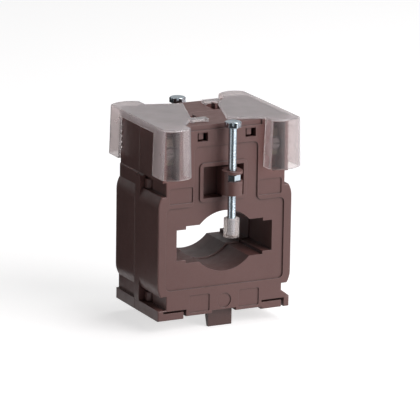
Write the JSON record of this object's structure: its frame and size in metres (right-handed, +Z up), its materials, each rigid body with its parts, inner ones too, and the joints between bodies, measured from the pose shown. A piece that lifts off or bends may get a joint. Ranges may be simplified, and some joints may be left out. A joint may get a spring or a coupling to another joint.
{
  "type": "current transformer",
  "caption": "Window current transformer with a moulded housing, busbar clamp screws, clear terminal covers and a rail clip.",
  "frame": {"origin": "centre of the footprint, level with the undersides of the rail hooks", "axes": "+X to the right across the busbar window, +Y through the window to the rear, +Z up"},
  "size_m": [0.0724, 0.0682, 0.1015],
  "materials": {
    "housing_plastic": "satin",
    "clear_cover": "frosted",
    "clear_cap": "frosted",
    "zinc_steel": "bright",
    "plated_brass": "nickel plated",
    "core_steel": "rolled strip",
    "enamelled_copper": "enamelled",
    "lead_sleeve": "matt"
  },
  "bodies": {
    "housing": {"front_shell": "housing_plastic", "rear_shell": "housing_plastic", "core": "core_steel", "secondary_winding": "enamelled_copper", "rail_clip": "housing_plastic", "front_screw_holder": "housing_plastic", "rear_screw_holder": "housing_plastic", "front_clamp_nut": "zinc_steel", "rear_clamp_nut": "zinc_steel", "left_lead": "lead_sleeve", "right_lead": "lead_sleeve", "left_terminal_strap": "plated_brass", "right_terminal_strap": "plated_brass"},
    "front_cap_carriage": {"front_screw_cap": "clear_cap"},
    "front_clamp": {"front_clamp_screw": "zinc_steel"},
    "rear_cap_carriage": {"rear_screw_cap": "clear_cap"},
    "rear_clamp": {"rear_clamp_screw": "zinc_steel"},
    "left_cover": {"left_terminal_cover": "clear_cover"},
    "left_front_terminal_plate": {"left_front_terminal_washer": "zinc_steel"},
    "left_front_terminal_bolt": {"left_front_terminal_screw": "zinc_steel"},
    "left_rear_terminal_plate": {"left_rear_terminal_washer": "zinc_steel"},
    "left_rear_terminal_bolt": {"left_rear_terminal_screw": "zinc_steel"},
    "right_cover": {"right_terminal_cover": "clear_cover"},
    "right_front_terminal_plate": {"right_front_terminal_washer": "zinc_steel"},
    "right_front_terminal_bolt": {"right_front_terminal_screw": "zinc_steel"},
    "right_rear_terminal_plate": {"right_rear_terminal_washer": "zinc_steel"},
    "right_rear_terminal_bolt": {"right_rear_terminal_screw": "zinc_steel"}
  },
  "joints": [
    {"name": "front_clamp_travel", "type": "slide", "parent": "housing", "child": "front_cap_carriage", "axis": [0, 0, 1], "range_m": [-0.0195, 0.011]},
    {"name": "front_clamp_turn", "type": "hinge", "parent": "front_cap_carriage", "child": "front_clamp", "pos_m": [0, -0.02925, 0.0986], "axis": [0, 0, 1], "range_deg": [-10028.6, 5657.2]},
    {"name": "rear_clamp_travel", "type": "slide", "parent": "housing", "child": "rear_cap_carriage", "axis": [0, 0, 1], "range_m": [-0.01865, 0.01185]},
    {"name": "rear_clamp_turn", "type": "hinge", "parent": "rear_cap_carriage", "child": "rear_clamp", "pos_m": [0, 0.02925, 0.09775], "axis": [0, 0, 1], "range_deg": [-9591.5, 6094.3]},
    {"name": "left_cover_lift", "type": "slide", "parent": "housing", "child": "left_cover", "axis": [0, 0, 1], "range_m": [0, 0.024]},
    {"name": "left_front_terminal_travel", "type": "slide", "parent": "housing", "child": "left_front_terminal_plate", "axis": [0, -1, 0], "range_m": [0, 0.004]},
    {"name": "left_front_terminal_turn", "type": "hinge", "parent": "left_front_terminal_plate", "child": "left_front_terminal_bolt", "pos_m": [-0.0276, -0.0181, 0.0861], "axis": [0, -1, 0], "range_deg": [0, 2880]},
    {"name": "left_rear_terminal_travel", "type": "slide", "parent": "housing", "child": "left_rear_terminal_plate", "axis": [0, 1, 0], "range_m": [0, 0.004]},
    {"name": "left_rear_terminal_turn", "type": "hinge", "parent": "left_rear_terminal_plate", "child": "left_rear_terminal_bolt", "pos_m": [-0.0276, 0.0181, 0.0861], "axis": [0, 1, 0], "range_deg": [0, 2880]},
    {"name": "right_cover_lift", "type": "slide", "parent": "housing", "child": "right_cover", "axis": [0, 0, 1], "range_m": [0, 0.024]},
    {"name": "right_front_terminal_travel", "type": "slide", "parent": "housing", "child": "right_front_terminal_plate", "axis": [0, -1, 0], "range_m": [0, 0.004]},
    {"name": "right_front_terminal_turn", "type": "hinge", "parent": "right_front_terminal_plate", "child": "right_front_terminal_bolt", "pos_m": [0.0276, -0.0181, 0.0861], "axis": [0, -1, 0], "range_deg": [0, 2880]},
    {"name": "right_rear_terminal_travel", "type": "slide", "parent": "housing", "child": "right_rear_terminal_plate", "axis": [0, 1, 0], "range_m": [0, 0.004]},
    {"name": "right_rear_terminal_turn", "type": "hinge", "parent": "right_rear_terminal_plate", "child": "right_rear_terminal_bolt", "pos_m": [0.0276, 0.0181, 0.0861], "axis": [0, 1, 0], "range_deg": [0, 2880]}
  ],
  "couplings": [
    {"joint": "front_clamp_turn", "follows": "front_clamp_travel", "rad_per_m": 8976},
    {"joint": "rear_clamp_turn", "follows": "rear_clamp_travel", "rad_per_m": 8976},
    {"joint": "left_front_terminal_turn", "follows": "left_front_terminal_travel", "rad_per_m": 12566},
    {"joint": "left_rear_terminal_turn", "follows": "left_rear_terminal_travel", "rad_per_m": 12566},
    {"joint": "right_front_terminal_turn", "follows": "right_front_terminal_travel", "rad_per_m": 12566},
    {"joint": "right_rear_terminal_turn", "follows": "right_rear_terminal_travel", "rad_per_m": 12566}
  ]
}
